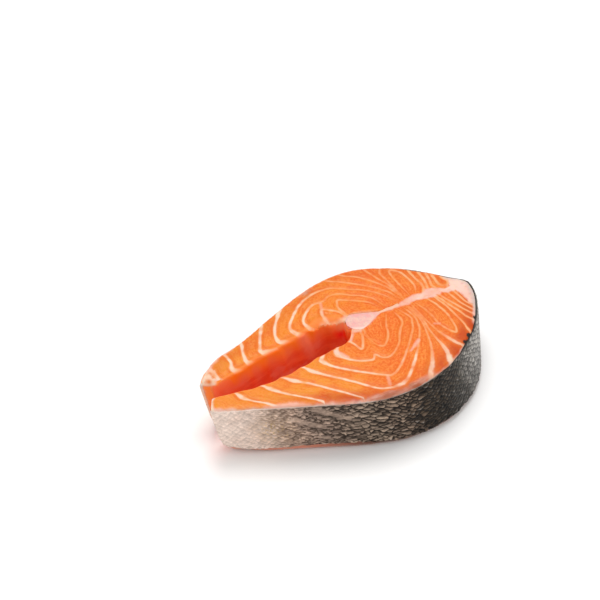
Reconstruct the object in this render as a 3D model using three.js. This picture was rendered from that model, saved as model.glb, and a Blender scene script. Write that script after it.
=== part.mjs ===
// A raw salmon steak: a slice cut straight across the fish behind the back fin.
// It lies on its lower cut face. The back of the fish points along +X, the two belly
// flaps end at -X with the emptied belly cavity open between them, and +Z is up.
// The pieces are the flesh, the skin wrapped round it and the backbone that runs through it.
import * as THREE from "three";
import { mergeVertices } from "three/addons/utils/BufferGeometryUtils.js";

// Driving dimensions, in millimetres
const LENGTH = 150; // upper face, from the belly flaps' tips to the back
const WIDTH = 87.5; // upper face, from flank to flank
const THICKNESS = 28;
const CUT_SLANT = new THREE.Vector2(4.2, -3.4); // how far the slanting cut carries the lower face along
const LOWER_TAPER = 0.022; // share of the length by which the lower face is shorter
const SKIN_THICKNESS = 1.2;
const LAYER_GAP = 0.35; // clearance between skin and flesh, and between bone and flesh
const BONE_RADIUS = 5.7;
const SPINE_HALF_WIDTH = 0.8; // the blade of bone that rises from the backbone towards the back
const SPINE_LENGTH = 24; // from the middle of the backbone to the end of that blade
const SPINE_TAPER = 0.62; // share of that length over which the bone narrows to the blade

// Rounded edges of the flesh: how far in from the edge they reach, and how far they drop
const SKIN_EDGE = { reach: 2.0, drop: 0.35 };
const NEAR_CAVITY_EDGE = { reach: 1.6, drop: 0.8 };
const FAR_CAVITY_EDGE = { reach: 3.0, drop: 1.8 };
const SOCKET_EDGE = { reach: 0.6, drop: 0.15 };
const LOWER_EDGE = { reach: 1.2, drop: 0.8 };
const SKIN_FLOOR_GAP = 1.6; // the skin has shrunk back from the surface that the steak lies on
const BONE_SHRINK = 0.3; // the bone is cut a little short of both faces
const WALL_BULGE = 1.3; // the walls of the cavity swell out at half height,
const FLANK_BULGE = 0.6; // and so do the flanks under the skin
const FLAKE_PITCH = 10.2; // flakes of flesh end along the cavity as shallow scallops
const FLAKE_START = -6.5; // where along the fish two of them meet
const FLAKE_DEPTH = 0.9;
const SKIN_LIP = 0.4; // rounding of the skin's cut edges

// How finely the surfaces are divided
const WALL_COLUMNS = 30; // along each half of the flesh: beside the cavity,
const SOCKET_COLUMNS = 20; // beside the bone,
const SEAM_COLUMNS = 9; // and from the bone to the back, where the halves are one
const MIDDLE_ROWS = 6; // across each half, between its rounded edges
const WALL_LAYERS = 4;
const SKIN_COLUMNS = 110;
const BONE_STEPS = 26;
const BONE_LAYERS = 3;
const EDGE_STEP = 0.3; // share of a rounded edge's reach at which it has its middle line of points
const WELD = 1e-3; // points closer than this are one

// A point of the upper face, from its share of the length (0 at the flaps' tips, 1 at the back)
// and its share of half the width (-1 and 1 at the flanks).
const at = (along, across) => new THREE.Vector2((along - 0.5) * LENGTH, (across * WIDTH) / 2);

// The skin's outer line, from the tip of one belly flap round the back to the other tip
const nearFlank = [
  at(0.005, -0.184), at(0.1, -0.376), at(0.26, -0.656), at(0.42, -0.921), at(0.555, -1),
  at(0.71, -0.906), at(0.86, -0.631), at(0.96, -0.263),
];
const backTip = at(1, 0.066);
const farFlank = [
  at(0.947, 0.381), at(0.853, 0.72), at(0.74, 0.946), at(0.633, 1), at(0.513, 0.931),
  at(0.37, 0.759), at(0.227, 0.573), at(0.135, 0.5), at(0.078, 0.377), at(0.035, 0.235),
];
const skinLine = new THREE.SplineCurve([...nearFlank, backTip, ...farFlank]);

// Share of the skin line's length at which it passes the tip of the back
const STEPS_PER_POINT = 20;
const lineLengths = skinLine.getLengths((nearFlank.length + farFlank.length) * STEPS_PER_POINT);
const backShare = lineLengths[nearFlank.length * STEPS_PER_POINT] / lineLengths.at(-1);

// The way out of the fish at a point of the skin line, and such a point moved inwards
function skinOutwards(share) {
  const tangent = skinLine.getTangentAt(share);
  return new THREE.Vector2(tangent.y, -tangent.x);
}

function insetSkinLine(share, depth) {
  return skinLine.getPointAt(share).addScaledVector(skinOutwards(share), -depth);
}

// How much of its full swelling a wall has at a height
const swelling = (z) => Math.sin((Math.PI * z) / THICKNESS);

// The backbone: round in section, with the blade of bone tapering from it along the fish's middle
const boneMiddle = at(0.59, 0.199);
const spineEnd = boneMiddle.x + SPINE_LENGTH;

function boneHalfWidth(x, gap) {
  const fromMiddle = x - boneMiddle.x;
  if (fromMiddle < 0) return Math.sqrt(Math.max(0, (BONE_RADIUS + gap) ** 2 - fromMiddle ** 2));
  const taper = THREE.MathUtils.smoothstep(fromMiddle, 0, SPINE_LENGTH * SPINE_TAPER);
  return THREE.MathUtils.lerp(BONE_RADIUS, SPINE_HALF_WIDTH, taper) + gap;
}

// One side of the bone's outline, side -1 or 1, from a start x to the blade's end, kept clear by a gap
function boneSide(side, startX, gap, steps) {
  const points = [];
  for (let i = 0; i <= steps; i++) {
    const x = THREE.MathUtils.lerp(startX, spineEnd, i / steps);
    points.push(new THREE.Vector2(x, boneMiddle.y + side * boneHalfWidth(x, gap)));
  }
  return points;
}

// The inner line of each half of the flesh: along the cavity's wall, past the bone, then along the
// middle of the fish, where the two halves are one, to a point a little short of the back
const SOCKET_GRIP = 0.93; // share of the bone's radius up to which the flesh holds it on the cavity's side
const SOCKET_START = boneMiddle.x - SOCKET_GRIP * BONE_RADIUS;
const SOCKET_STEPS = 24;
const FAN_SHORTFALL = 0.3; // share of the way from the bone to the back
const spineSeam = new THREE.Vector2(spineEnd + 2 * LAYER_GAP, boneMiddle.y);
const fanPoint = backTip.clone().lerp(spineSeam, FAN_SHORTFALL);

const nearWall = [
  at(0.036, -0.009), at(0.112, -0.073), at(0.192, -0.121), at(0.298, -0.112), at(0.398, -0.058),
  at(0.468, -0.033), at(0.513, -0.02), at(0.535, 0.038), at(0.55, 0.113),
];
const farWall = [
  at(0.075, 0.144), at(0.15, 0.194), at(0.24, 0.261), at(0.31, 0.288), at(0.38, 0.331), at(0.46, 0.382),
  at(0.505, 0.394), at(0.533, 0.346), at(0.551, 0.287),
];

function innerLine(wall, side) {
  const socket = boneSide(side, SOCKET_START, LAYER_GAP, SOCKET_STEPS);
  const path = new THREE.CurvePath();
  path.add(new THREE.SplineCurve([...wall, socket[0]]));
  path.add(new THREE.SplineCurve(socket));
  path.add(new THREE.LineCurve(socket.at(-1), spineSeam));
  path.add(new THREE.LineCurve(spineSeam, fanPoint));
  return path;
}

// Shares of an inner line's length at which the flesh is divided
function columnShares(path) {
  const [wallEnd, socketEnd, seamStart, end] = path.getCurveLengths();
  const shares = [];
  for (let i = 0; i < WALL_COLUMNS; i++) shares.push(((i / WALL_COLUMNS) * wallEnd) / end);
  for (let i = 0; i <= SOCKET_COLUMNS; i++) {
    shares.push(THREE.MathUtils.lerp(wallEnd, socketEnd, i / SOCKET_COLUMNS) / end);
  }
  for (let i = 0; i <= SEAM_COLUMNS; i++) {
    shares.push(THREE.MathUtils.lerp(seamStart, end, i / SEAM_COLUMNS) / end);
  }
  return shares;
}

// The cut through the fish slants, so each level of the steak lies a little further along,
// and the fish is slimmer on the lower side of the slice
function place(point, z) {
  const depth = 1 - z / THICKNESS;
  const x = point.x * (1 - LOWER_TAPER * depth) + CUT_SLANT.x * depth;
  return new THREE.Vector3(x, point.y + CUT_SLANT.y * depth, z);
}

// How far a surface has dropped at a distance in from its rounded edge
function edgeDrop({ reach, drop }, distance) {
  const out = 1 - Math.min(distance / reach, 1);
  return drop * (1 - Math.sqrt(1 - out * out));
}

// Collects four-cornered faces, seen anticlockwise from outside, and closes them into one geometry
class Surface {
  positions = [];

  triangle(a, b, c) {
    for (const corner of [a, b, c]) this.positions.push(corner.x, corner.y, corner.z);
  }

  quad(a, b, c, d) {
    this.triangle(a, b, d);
    this.triangle(b, c, d);
  }

  // A grid of points, as rows of equal length; turned over when flip is true
  grid(rows, flip) {
    for (let i = 0; i + 1 < rows.length; i++) {
      for (let j = 0; j + 1 < rows[i].length; j++) {
        const [a, b, c, d] = [rows[i][j], rows[i][j + 1], rows[i + 1][j + 1], rows[i + 1][j]];
        if (flip) this.quad(a, d, c, b);
        else this.quad(a, b, c, d);
      }
    }
  }

  geometry() {
    const soup = new THREE.BufferGeometry();
    soup.setAttribute("position", new THREE.Float32BufferAttribute(this.positions, 3));
    const merged = mergeVertices(soup, WELD);
    const kept = [];
    for (let i = 0; i < merged.index.count; i += 3) {
      const [a, b, c] = [0, 1, 2].map((k) => merged.index.getX(i + k));
      if (a !== b && b !== c && c !== a) kept.push(a, b, c);
    }
    merged.setIndex(kept);
    merged.computeVertexNormals();
    return merged;
  }
}

// Distances across one line of the flesh: close together at its rounded edges, even between them
function rowStops(length, innerReach, outerReach) {
  const inner = Math.min(innerReach, length / 3);
  const outer = Math.min(outerReach, length / 3);
  const stops = [0, EDGE_STEP * inner];
  for (let i = 0; i <= MIDDLE_ROWS; i++) {
    stops.push(THREE.MathUtils.lerp(inner, length - outer, i / MIDDLE_ROWS));
  }
  return [...stops, length - EDGE_STEP * outer, length];
}

// A wall's line of points from its lower to its upper edge, swollen outwards at half height
function wallColumn(bottom, top, swell) {
  const points = [];
  for (let layer = 0; layer <= WALL_LAYERS; layer++) {
    const point = bottom.clone().lerp(top, layer / WALL_LAYERS);
    const inside = layer > 0 && layer < WALL_LAYERS;
    const push = inside ? swelling(point.z) : 0;
    points.push(point.add(new THREE.Vector3(swell.x * push, swell.y * push, 0)));
  }
  return points;
}

// One half of the flesh, from the tip of its belly flap to the back: side -1 is near, 1 is far
function addHalf(surface, wall, cavityEdge, side) {
  const inner = innerLine(wall, side);
  const upper = [];
  const lower = [];
  const innerWall = [];
  const outerWall = [];
  columnShares(inner).forEach((share, column) => {
    const outerShare = side < 0 ? share * backShare : 1 - share * (1 - backShare);
    const outerPoint = insetSkinLine(outerShare, SKIN_THICKNESS + LAYER_GAP);
    const innerPoint = inner.getPoint(share);
    const inCavity = column < WALL_COLUMNS;
    const onSeam = column > WALL_COLUMNS + SOCKET_COLUMNS;
    const outwards = outerPoint.clone().sub(innerPoint).normalize();
    const fade = inCavity ? Math.sin((Math.PI * column) / WALL_COLUMNS) : 0;
    const scallop = Math.abs(Math.sin((Math.PI * (innerPoint.x - FLAKE_START)) / FLAKE_PITCH)) - 0.5;
    innerPoint.addScaledVector(outwards, FLAKE_DEPTH * scallop * fade);

    const length = outerPoint.distanceTo(innerPoint);
    const innerEdge = inCavity ? cavityEdge : SOCKET_EDGE;
    const tipDistance = share * inner.getLength();
    const dropAt = (stop, innerShape, outerShape, tipShape) => Math.max(
      onSeam ? 0 : edgeDrop(innerShape, stop),
      edgeDrop(outerShape, length - stop),
      edgeDrop(tipShape, tipDistance),
    );
    const stops = rowStops(length, innerEdge.reach, SKIN_EDGE.reach);
    const pointAt = (stop) => innerPoint.clone().addScaledVector(outwards, stop);
    const top = stops.map((stop) => (
      place(pointAt(stop), THICKNESS - dropAt(stop, innerEdge, SKIN_EDGE, cavityEdge))));
    const bottom = stops.map((stop) => (
      place(pointAt(stop), dropAt(stop, LOWER_EDGE, LOWER_EDGE, LOWER_EDGE))));
    upper.push(top);
    lower.push(bottom);

    const swell = outwards.clone().multiplyScalar(-WALL_BULGE * fade);
    if (column <= WALL_COLUMNS + SOCKET_COLUMNS + 1) innerWall.push(wallColumn(bottom[0], top[0], swell));
    const flank = skinOutwards(outerShare).multiplyScalar(FLANK_BULGE);
    outerWall.push(wallColumn(bottom.at(-1), top.at(-1), flank));
  });
  const still = new THREE.Vector2();
  const flapEnd = upper[0].map((point, i) => wallColumn(lower[0][i], point, still));
  flapEnd[flapEnd.length - 1] = outerWall[0];
  surface.grid(upper, side > 0);
  surface.grid(lower, side < 0);
  surface.grid(outerWall, side < 0);
  surface.grid(innerWall, side > 0);
  surface.grid(flapEnd, side < 0);
}

function fleshGeometry() {
  const surface = new Surface();
  addHalf(surface, nearWall, NEAR_CAVITY_EDGE, -1);
  addHalf(surface, farWall, FAR_CAVITY_EDGE, 1);
  return surface.geometry();
}

// The skin: a thin band wrapped round the flesh, with rounded cut edges
function skinGeometry() {
  const top = THICKNESS - SKIN_EDGE.drop;
  const bottom = SKIN_FLOOR_GAP;
  const middle = SKIN_THICKNESS / 2;
  const section = []; // [depth below the skin's surface, height], round the band
  for (let layer = 0; layer <= WALL_LAYERS; layer++) {
    section.push([0, THREE.MathUtils.lerp(bottom + SKIN_LIP, top - SKIN_LIP, layer / WALL_LAYERS)]);
  }
  section.push([middle, top]);
  for (let layer = WALL_LAYERS; layer >= 0; layer--) {
    section.push([SKIN_THICKNESS, section[layer][1]]);
  }
  section.push([middle, bottom]);

  const surface = new Surface();
  const rings = [];
  for (let column = 0; column <= SKIN_COLUMNS; column++) {
    const share = column / SKIN_COLUMNS;
    const ring = section.map(([depth, z]) => (
      place(insetSkinLine(share, depth - FLANK_BULGE * swelling(z)), z)));
    rings.push([...ring, ring[0]]);
  }
  surface.grid(rings, true);
  for (const [ring, flip] of [[rings[0], false], [rings.at(-1), true]]) {
    const hub = ring.slice(0, -1).reduce((sum, point) => sum.add(point), new THREE.Vector3());
    hub.divideScalar(ring.length - 1);
    for (let i = 0; i + 1 < ring.length; i++) {
      if (flip) surface.triangle(hub, ring[i + 1], ring[i]);
      else surface.triangle(hub, ring[i], ring[i + 1]);
    }
  }
  return surface.geometry();
}

// The backbone and its blade, cut through with the flesh
function backboneGeometry() {
  const lowerSide = boneSide(-1, boneMiddle.x - BONE_RADIUS, 0, BONE_STEPS);
  const upperSide = boneSide(1, boneMiddle.x - BONE_RADIUS, 0, BONE_STEPS);
  const outline = new THREE.Shape([...lowerSide, ...upperSide.reverse().slice(0, -1)]);
  const height = THICKNESS - 2 * BONE_SHRINK;
  const cut = { depth: height, bevelEnabled: false, steps: BONE_LAYERS };
  const solid = new THREE.ExtrudeGeometry(outline, cut);
  solid.deleteAttribute("normal");
  solid.deleteAttribute("uv");
  const points = solid.getAttribute("position");
  for (let i = 0; i < points.count; i++) {
    const moved = place(new THREE.Vector2(points.getX(i), points.getY(i)), points.getZ(i) + BONE_SHRINK);
    points.setXYZ(i, moved.x, moved.y, moved.z);
  }
  const merged = mergeVertices(solid, WELD);
  merged.computeVertexNormals();
  return merged;
}

function piece(name, geometry, color, roughness) {
  const mesh = new THREE.Mesh(geometry, new THREE.MeshStandardMaterial({ color, roughness, metalness: 0 }));
  mesh.name = name;
  return mesh;
}

const slice = new THREE.Group();
slice.add(
  piece("flesh", fleshGeometry(), "#f2742c", 0.38),
  piece("skin", skinGeometry(), "#75706a", 0.35),
  piece("backbone", backboneGeometry(), "#f2c4b8", 0.42),
);

// The origin is at the middle of the steak's box, on the surface that it lies on
const box = new THREE.Box3().setFromObject(slice);
const middle = box.getCenter(new THREE.Vector3());
slice.position.set(-middle.x, -middle.y, -box.min.z);

const steak = new THREE.Group();
steak.add(slice);

export default steak;
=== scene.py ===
import math

import bpy
import numpy as np
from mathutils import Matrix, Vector, kdtree, noise
from mathutils.bvhtree import BVHTree


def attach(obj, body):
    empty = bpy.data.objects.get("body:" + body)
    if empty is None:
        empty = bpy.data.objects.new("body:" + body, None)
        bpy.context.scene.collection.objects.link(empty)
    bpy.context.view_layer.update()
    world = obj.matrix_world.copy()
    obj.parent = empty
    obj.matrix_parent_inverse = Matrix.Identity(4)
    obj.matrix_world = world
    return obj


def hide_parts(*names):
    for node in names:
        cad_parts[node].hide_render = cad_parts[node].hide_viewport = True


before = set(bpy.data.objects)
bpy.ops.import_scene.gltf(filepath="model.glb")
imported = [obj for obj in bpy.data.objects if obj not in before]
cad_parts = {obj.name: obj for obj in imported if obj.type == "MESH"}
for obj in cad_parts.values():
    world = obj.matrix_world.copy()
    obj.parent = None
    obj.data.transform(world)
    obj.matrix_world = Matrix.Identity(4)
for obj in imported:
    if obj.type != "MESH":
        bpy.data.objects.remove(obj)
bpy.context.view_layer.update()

# The viewpoint is a cook's over a table: well above the steak, on the side of one belly flap,
# through a long lens that keeps the far flank nearly as large as the near one.
aim = Vector((0.0150, 0.0658, 0.0))
turn = math.radians(-32)
height = math.radians(40)
camera_distance = 0.95
to_camera = Vector((math.sin(turn) * math.cos(height), -math.cos(turn) * math.cos(height), math.sin(height)))
camera_turn = to_camera.to_track_quat("Z", "Y").to_euler()
bpy.ops.object.camera_add(location=aim + camera_distance * to_camera, rotation=camera_turn)
camera = bpy.context.object
camera.data.lens = 114
camera.data.sensor_width = 36
camera.data.clip_end = 20
scene = bpy.context.scene
scene.camera = camera
scene.view_settings.view_transform = "Standard"


# The table is a plain white board, lit softly from all round, with one broad lamp
# above and behind the steak that leaves a faint shadow on the near side.
def new_look(name):
    look = bpy.data.materials.new(name)
    look.use_nodes = True
    return look, look.node_tree.nodes["Principled BSDF"]


def set_inputs(node, values):
    for name, value in values.items():
        if isinstance(value, bpy.types.NodeSocket):
            node.id_data.links.new(value, node.inputs[name])
        else:
            node.inputs[name].default_value = value


bpy.ops.object.select_all(action="DESELECT")
bpy.ops.mesh.primitive_plane_add(size=8, location=(0, 0, 0))
board = bpy.context.object
board.name = "board"
white, white_shader = new_look("white_board")
set_inputs(white_shader, {"Base Color": (0.93, 0.92, 0.91, 1), "Roughness": 0.3})
board.data.materials.append(white)

scene.world = bpy.data.worlds.new("studio")
scene.world.use_nodes = True
set_inputs(scene.world.node_tree.nodes["Background"], {"Color": (1, 1, 1, 1), "Strength": 0.88})
lamp_place = Vector((0.27, 0.46, 1.29))
lamp_turn = lamp_place.to_track_quat("Z", "Y").to_euler()
bpy.ops.object.light_add(type="AREA", location=lamp_place, rotation=lamp_turn)
lamp = bpy.context.object
lamp.data.shape = "DISK"
lamp.data.size = 0.85
lamp.data.energy = 9


# The flesh is the fish's own muscle, cut through raw: orange flakes parted by thin cream lines,
# which run in nested bends from the middle of the fish to the skin and out into both belly flaps.
def copy_of_node(node, name):
    bpy.ops.object.select_all(action="DESELECT")
    piece = bpy.data.objects.new(name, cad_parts[node].data.copy())
    scene.collection.objects.link(piece)
    piece.select_set(True)
    bpy.context.view_layer.objects.active = piece
    piece.data.materials.clear()
    bpy.ops.object.mode_set(mode="EDIT")
    bpy.ops.mesh.select_all(action="SELECT")
    bpy.ops.mesh.remove_doubles(threshold=1e-6)
    bpy.ops.object.mode_set(mode="OBJECT")
    return piece


def apply_modifier(piece, kind, **settings):
    modifier = piece.modifiers.new(kind.lower(), kind)
    for name, value in settings.items():
        setattr(modifier, name, value)
    bpy.ops.object.modifier_apply(modifier=modifier.name)


# Points and their places are in mm, along the fish, across it and up from the table
def points_of(piece):
    flat = np.empty(len(piece.data.vertices) * 3, np.float32)
    piece.data.vertices.foreach_get("co", flat)
    return flat.reshape(-1, 3).astype(float) * 1000


def normals_of(piece):
    flat = np.empty(len(piece.data.vertices) * 3, np.float32)
    piece.data.vertices.foreach_get("normal", flat)
    return flat.reshape(-1, 3).astype(float)


def move_points(piece, places):
    piece.data.vertices.foreach_set("co", (places / 1000).astype(np.float32).ravel())
    piece.data.update()


# A value for every point, which the material reads by its name
def keep_value(piece, name, values):
    piece.data.attributes.new(name, "FLOAT", "POINT").data.foreach_set("value", values.astype(np.float32))


# A smooth step from 0 at the start to 1 at the end
def ease(values, start, end):
    share = np.clip((values - start) / (end - start), 0, 1)
    return share * share * (3 - 2 * share)


# The cut slants and narrows a little, so a point below the upper face is carried back up along the slant
thickness = 28.0
slant_along = 4.2
slant_across = -3.4
taper = 0.022
taper_middle = -1.701


def on_upper_face(places):
    depth = 1 - places[:, 2] / thickness
    along = (places[:, 0] - taper_middle - slant_along * depth) / (1 - taper * depth) + taper_middle
    return along, places[:, 1] - slant_across * depth


# A thin red membrane of the flesh covers the side of the backbone that looks into the cavity
membrane = copy_of_node("backbone", "membrane")
apply_modifier(membrane, "DISPLACE", strength=0.0009, mid_level=0)
membrane_points = points_of(membrane)
mid_height = thickness / 2
membrane_points[:, 2] = mid_height + 0.885 * (membrane_points[:, 2] - mid_height)
move_points(membrane, membrane_points)
flesh = copy_of_node("flesh", "flesh_cut")
membrane.select_set(True)
bpy.ops.object.join()
apply_modifier(flesh, "REMESH", mode="VOXEL", voxel_size=0.00062)
apply_modifier(flesh, "SMOOTH", factor=0.5, iterations=5)

# The corner where the membrane meets the flesh is smoothed further
pocket = flesh.vertex_groups.new(name="pocket")
pocket_along = 8.3
pocket_across = 11.2
for i, (x, y) in enumerate(zip(*on_upper_face(points_of(flesh)))):
    from_pocket = np.hypot(x - pocket_along, y - pocket_across)
    pocket.add([i], 1 - float(ease(from_pocket, 2.5, 5.5)), "REPLACE")
apply_modifier(flesh, "SMOOTH", factor=0.5, iterations=30, vertex_group="pocket")
bpy.ops.object.shade_smooth()

# Lines of the near half and of the far half, in mm on the upper face. Most run from the middle of the fish
# round to the cavity. A line that leaves through the skin has a second stretch, where it comes back in, or
# clear of the steak if it ends there.
middle = 9.3
beyond_near = [(90, -23), (90, 3)]
beyond_far = [(90, 30), (90, 15)]
near_lines = [
    [[(24.6, 4.5), (21.7, 0), (20, -4), (16.5, -8.5), (12.9, -10.8), (10.7, -8), (10, -1), (11, 2.4)]],
    [[(30.5, 8), (30.2, -0.5), (25.4, -6), (20, -13), (13.3, -17.8), (10, -18.4), (7.5, -16.8), (6, -13.8),
      (2.9, -16.3), (-4.2, -12.2), (-8.5, -6.3), (-8.7, -3.8), (-7, -1.7)]],
    [[(33, 8), (35, -0.5), (33.7, -3.8), (31.2, -8), (23.3, -16.3), (15, -23.8), (10, -27.6), (5.8, -29.4),
      (2.9, -28.4), (-5.8, -20.5), (-14.2, -11.3), (-17.2, -5), (-14.6, -1.5)]],
    [[(36, 8), (37, 0), (35.8, -5.5), (33.3, -10.7), (28, -17.6), (22.8, -23.3), (18.3, -27.9), (12.2, -33.4),
      (8.4, -36), (4.6, -37), (-0.9, -36.2), (-5.8, -33.2), (-13.3, -23), (-20.3, -14.2), (-24.8, -8.2),
      (-26.5, -3.8)]],
    [[(38, 8), (38, -5), (34.6, -15.5), (31.7, -22.2), (28.3, -28), (24.2, -33.8), (20.8, -37.2)],
     [(-17, -32), (-25.5, -20.5), (-30.3, -14.2), (-35.3, -9.2), (-38.3, -4.2)]],
    [[(39, 8), (39, -5), (37.5, -12), (36.7, -19.7), (36.2, -25.5), (35, -31.3), (32.5, -35.5)],
     [(-33.7, -24.6), (-42.4, -15), (-46.6, -9.2), (-48.7, -5)]],
    [[(40.4, 8), (40.2, -11.3), (41.2, -19.7), (42.8, -26.4), (44.6, -30.3)],
     [(-50.4, -18.6), (-54, -14.8), (-58.2, -10.4), (-60.8, -6.4), (-61.2, -2.8)]],
    [[(2, -3), (3.2, -7.4), (8, -0.5), (9, 2)]],
    [[(42.9, 6.7), (44.3, 0), (44.2, -6.7), (43.8, -11.7), (45.2, -17.5), (47, -20.8), (48.9, -18),
      (50.2, -13.3), (51.1, -8.3), (51.2, -4.6), (50.9, -1.4), (50.8, 1), (50, 4)]],
    [[(53.3, 4.6), (53.6, 1.5), (54.2, -2.5), (54.2, -7.2), (54.1, -12), (53.9, -17.4), (53.2, -20.5),
      (52.4, -24)],
     beyond_near],
    [[(54.5, 4.6), (55.3, 1.3), (56, -3.8), (57.2, -9), (57.7, -13.4), (58.9, -17.2), (59.2, -20)],
     beyond_near],
    [[(56.3, 5.4), (56.9, 2.3), (57.9, -1.6), (59, -6), (60.2, -10), (61.8, -14.5), (62.6, -17.6)],
     beyond_near],
    [[(60.6, 5.4), (60.7, 2.8), (61, -1), (61.4, -4.6), (62.4, -8), (63.5, -12.1), (64, -14.4)],
     beyond_near],
    [[(63.2, 5.2), (63.6, 2), (63.7, -1.9), (63.9, -4.8), (64.7, -7.6), (65.2, -9.4)],
     beyond_near],
]
far_lines = [
    [[(27, 13), (24.5, 18.5), (20.5, 22.5), (16.7, 25.4), (12.5, 27.9), (10.8, 25.8), (9.6, 22.5),
      (10.5, 17)]],
    [[(29, 12), (28.8, 15), (27.5, 20.4), (24.2, 24.6), (20, 27.9), (15, 32), (10, 32.9), (6.7, 31.2),
      (4.2, 31.2), (0, 31.2), (-5, 28.3), (-9.3, 24), (-10, 20.8), (-8.6, 19), (-6.8, 18.6)]],
    [[(35.4, 12.5), (34.6, 16.7), (31.7, 22.5), (26.7, 28.3), (20, 33.3), (14.2, 37.5), (9.2, 38.3),
      (3.3, 37.9), (-5, 34.6), (-11.7, 29.2), (-16.7, 24.2), (-17.9, 20.8), (-17, 18), (-15, 17.4)]],
    [[(38.3, 13.3), (36.7, 20), (33.3, 25.8), (28.3, 31.7), (21.7, 38.3), (16.7, 42)],
     [(-7.5, 39.2), (-13.3, 36.2), (-20, 30.8), (-25, 24.2), (-27, 19), (-26.6, 16.9), (-24, 16.3)]],
    [[(39.6, 16.7), (37.9, 24), (35, 30), (30, 37.5), (23.3, 43)],
     [(-27.8, 30.4), (-32, 25.8), (-35.3, 20.4), (-37.6, 16.6), (-36.8, 15), (-34, 14.7)]],
    [[(39.8, 14), (39.6, 25), (37.9, 30.8), (36.7, 36.7), (35, 41.7)],
     [(-42, 25.4), (-44.5, 20.8), (-46.4, 15.4), (-46.4, 13), (-44, 12.5)]],
    [[(40.4, 14), (40.8, 25), (40.7, 33.3), (41.3, 35), (43.3, 38)],
     [(-52.8, 22.5), (-53.2, 16.7), (-54.9, 13.2), (-54.4, 11.3), (-52.2, 10.8)]],
    [[(-80, 40), (-80, 30)], [(-62, 18.3), (-63, 15), (-62.8, 10.8)]],
    [[(1.7, 18.3), (0.8, 22.5), (2.5, 26.2), (6.7, 22.5), (8.3, 20.4), (9.2, 17.5)]],
    [[(43.9, 13.4), (44.1, 18), (44.4, 26.7), (45, 31.7), (45.8, 33.3), (47.9, 32), (49.6, 29.5),
      (50.2, 26.3), (50.3, 21), (49.8, 17.6), (48.6, 15), (47.6, 13.1)]],
    [[(50.4, 11.3), (51.9, 12.9), (52.8, 14.4), (53.5, 17.9), (53.4, 22), (53.4, 25), (53.5, 29)],
     beyond_far],
    [[(53.6, 11), (54.2, 12.4), (55.2, 15.4), (56.2, 18.6), (56.7, 22), (56.9, 25.5), (57, 27.5)],
     beyond_far],
    [[(58.9, 9.7), (57.6, 11.2), (57.2, 13.6), (58.4, 17.1), (59.2, 20.4), (59.7, 23.2), (60, 25.5)],
     beyond_far],
]
far_hook = [[(61.6, 23.5), (61.3, 19.9), (61, 16.6), (60.4, 13.8), (60.4, 12.2), (60.9, 10.7), (62.2, 9.9),
             (63.7, 10.1), (64.8, 11.1), (65.3, 13), (64.7, 14.6), (64.3, 17), (64.5, 21)]]


# A line of the cut face, smoothed through its points and carried a little past both ends
def smooth_line(points, overrun=4.0, steps=40):
    points = [Vector(point) for point in points]
    before = points[0] + (points[0] - points[1]).normalized() * overrun
    after = points[-1] + (points[-1] - points[-2]).normalized() * overrun
    points = [before, *points, after]
    places = []
    for i in range(len(points) - 1):
        last = points[max(i - 1, 0)]
        start = points[i]
        end = points[i + 1]
        following = points[min(i + 2, len(points) - 1)]
        bend = 2 * last - 5 * start + 4 * end - following
        twist = 3 * start - last - 3 * end + following
        for step in range(steps):
            share = step / steps
            places.append(0.5 * (2 * start + (end - last) * share + bend * share ** 2 + twist * share ** 3))
    return places


# Which of many points lie inside a closed outline
def inside(outline, along, across):
    found = np.zeros(len(along), bool)
    for (x0, y0), (x1, y1) in zip(outline, outline[1:] + outline[:1]):
        if y0 == y1:
            continue
        crosses = (y0 > across) != (y1 > across)
        found ^= crosses & (along < (x1 - x0) * (across - y0) / (y1 - y0) + x0)
    return found


# Distance to the nearest line, with its sign turned over at every line that is crossed
def line_field(lines, hook, side, along, across):
    beyond_skin = middle + side * 90
    past_middle = middle - side * 20
    sign = np.ones(len(along))
    samples = []
    for line in lines + hook:
        outline = []
        for stretch in line:
            smooth = smooth_line(stretch)
            samples += smooth
            if outline:
                outline += [(outline[-1][0], beyond_skin), (smooth[0].x, beyond_skin)]
            outline += [(place.x, place.y) for place in smooth]
        shut = beyond_skin if line in hook else past_middle
        outline += [(outline[-1][0], shut), (outline[0][0], shut)]
        sign[inside(outline, along, across)] *= -1
    tree = kdtree.KDTree(len(samples))
    for i, place in enumerate(samples):
        tree.insert((place.x, place.y, 0), i)
    tree.balance()
    distance = np.array([tree.find((x, y, 0))[2] for x, y in zip(along, across)])
    return sign * distance


flesh_points = points_of(flesh)
flesh_normals = normals_of(flesh)
along, across = on_upper_face(flesh_points)
near = across < middle
line = np.empty(len(along))
line[near] = line_field(near_lines, [], -1, along[near], across[near])
line[~near] = line_field(far_lines, [far_hook], 1, along[~near], across[~near])


# How far points lie from a node of the frame, and which way it is, level with them
def nearest_on(node, places):
    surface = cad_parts[node].data
    corners = [vertex.co for vertex in surface.vertices]
    tree = BVHTree.FromPolygons(corners, [face.vertices for face in surface.polygons])
    hits = [tree.find_nearest(Vector(place / 1000)) for place in places]
    way = np.array([hit[0] for hit in hits]) * 1000 - places
    way[:, 2] = 0
    way /= np.maximum(np.linalg.norm(way, axis=1), 1e-6)[:, None]
    return np.array([hit[3] for hit in hits]) * 1000, way


from_skin, to_skin = nearest_on("skin", flesh_points)
from_bone, to_bone = nearest_on("backbone", flesh_points)

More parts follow.
